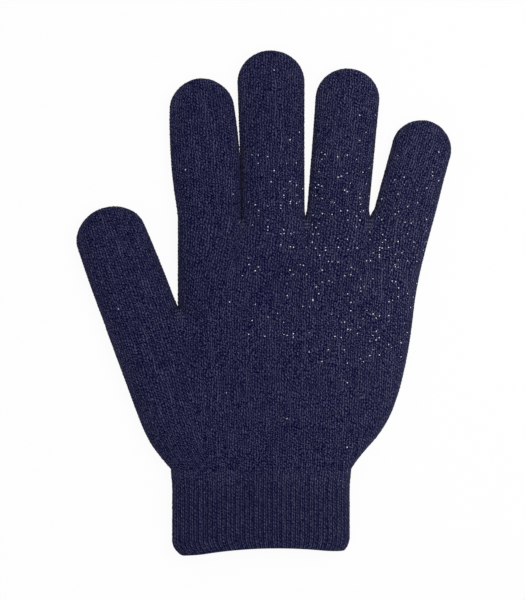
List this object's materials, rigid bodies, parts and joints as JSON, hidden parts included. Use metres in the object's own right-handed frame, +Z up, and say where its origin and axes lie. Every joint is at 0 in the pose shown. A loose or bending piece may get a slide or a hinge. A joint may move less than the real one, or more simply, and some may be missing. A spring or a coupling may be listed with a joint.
{
  "type": "knitted glove",
  "caption": "Plain knitted stretch glove with separate stalls for the fingers and the thumb, a smooth stockinette hand and a ribbed elastic cuff, laid flat with its palm side up.",
  "frame": {"origin": "on the table under the middle of the glove's outline", "axes": "+X across the hand from the thumb's side to the little finger's side, +Y from the cuff to the fingertips, +Z up from the table through the palm side"},
  "size_m": [0.1632, 0.2203, 0.0138],
  "materials": {
    "knit": "navy acrylic yarn knitted in plain stockinette, slightly fuzzy",
    "rib": "navy acrylic yarn knitted in lengthwise ribs",
    "binding": "navy yarn bound off over the cuff's mouth",
    "stitch": "navy sewing yarn",
    "elastic": "dark covered elastic thread"
  },
  "bodies": {
    "palm": {"lower_palm": "knit", "upper_palm": "knit", "index_middle_crotch_stitches": "stitch", "middle_ring_crotch_stitches": "stitch", "ring_little_crotch_stitches": "stitch", "thumb_crotch_stitches": "stitch"},
    "index_base": {"index_finger_base": "knit"},
    "index_middle": {"index_finger_middle": "knit"},
    "index_tip": {"index_finger_tip": "knit"},
    "middle_base": {"middle_finger_base": "knit"},
    "middle_middle": {"middle_finger_middle": "knit"},
    "middle_tip": {"middle_finger_tip": "knit"},
    "ring_base": {"ring_finger_base": "knit"},
    "ring_middle": {"ring_finger_middle": "knit"},
    "ring_tip": {"ring_finger_tip": "knit"},
    "little_base": {"little_finger_base": "knit"},
    "little_middle": {"little_finger_middle": "knit"},
    "little_tip": {"little_finger_tip": "knit"},
    "thumb_base": {"thumb_base": "knit"},
    "thumb_tip": {"thumb_tip": "knit"},
    "cuff": {"ribbed_cuff": "rib", "cuff_edge_binding": "binding", "cuff_elastic_threads": "elastic"}
  },
  "joints": [
    {"name": "index_knuckle_fold", "type": "hinge", "parent": "palm", "child": "index_base", "pos_m": [-0.02399, 0.03764, 0.0122], "axis": [1, 0, 0], "range_deg": [0, 90]},
    {"name": "index_middle_fold", "type": "hinge", "parent": "index_base", "child": "index_middle", "pos_m": [-0.02555, 0.0594, 0.0117], "axis": [0.9974, 0.0715, 0], "range_deg": [0, 90]},
    {"name": "index_tip_fold", "type": "hinge", "parent": "index_middle", "child": "index_tip", "pos_m": [-0.02685, 0.07753, 0.01128], "axis": [0.9974, 0.0715, 0], "range_deg": [0, 60]},
    {"name": "middle_knuckle_fold", "type": "hinge", "parent": "palm", "child": "middle_base", "pos_m": [0.00381, 0.03764, 0.0122], "axis": [1, 0, 0], "range_deg": [0, 90]},
    {"name": "middle_middle_fold", "type": "hinge", "parent": "middle_base", "child": "middle_middle", "pos_m": [0.00358, 0.06377, 0.0117], "axis": [1, 0.0087, 0], "range_deg": [0, 90]},
    {"name": "middle_tip_fold", "type": "hinge", "parent": "middle_middle", "child": "middle_tip", "pos_m": [0.00339, 0.08555, 0.01128], "axis": [1, 0.0087, 0], "range_deg": [0, 60]},
    {"name": "ring_knuckle_fold", "type": "hinge", "parent": "palm", "child": "ring_base", "pos_m": [0.03186, 0.03764, 0.0122], "axis": [1, 0, 0], "range_deg": [0, 90]},
    {"name": "ring_middle_fold", "type": "hinge", "parent": "ring_base", "child": "ring_middle", "pos_m": [0.03377, 0.06092, 0.0117], "axis": [0.9966, -0.0819, 0], "range_deg": [0, 90]},
    {"name": "ring_tip_fold", "type": "hinge", "parent": "ring_middle", "child": "ring_tip", "pos_m": [0.03537, 0.08033, 0.01128], "axis": [0.9966, -0.0819, 0], "range_deg": [0, 60]},
    {"name": "little_knuckle_fold", "type": "hinge", "parent": "palm", "child": "little_base", "pos_m": [0.05991, 0.03764, 0.0122], "axis": [1, 0, 0], "range_deg": [0, 90]},
    {"name": "little_middle_fold", "type": "hinge", "parent": "little_base", "child": "little_middle", "pos_m": [0.06423, 0.05262, 0.0117], "axis": [0.9608, -0.2773, 0], "range_deg": [0, 90]},
    {"name": "little_tip_fold", "type": "hinge", "parent": "little_middle", "child": "little_tip", "pos_m": [0.06783, 0.0651, 0.01128], "axis": [0.9608, -0.2773, 0], "range_deg": [0, 60]},
    {"name": "thumb_base_fold", "type": "hinge", "parent": "palm", "child": "thumb_base", "pos_m": [-0.05308, -0.00717, 0.0138], "axis": [0.9348, 0.3551, 0], "range_deg": [0, 60]},
    {"name": "thumb_tip_fold", "type": "hinge", "parent": "thumb_base", "child": "thumb_tip", "pos_m": [-0.06191, 0.01608, 0.01236], "axis": [0.9348, 0.3551, 0], "range_deg": [0, 75]},
    {"name": "cuff_fold", "type": "hinge", "parent": "palm", "child": "cuff", "pos_m": [-0.00189, -0.07196, 0.0124], "axis": [-1, 0, 0], "range_deg": [0, 90]}
  ]
}
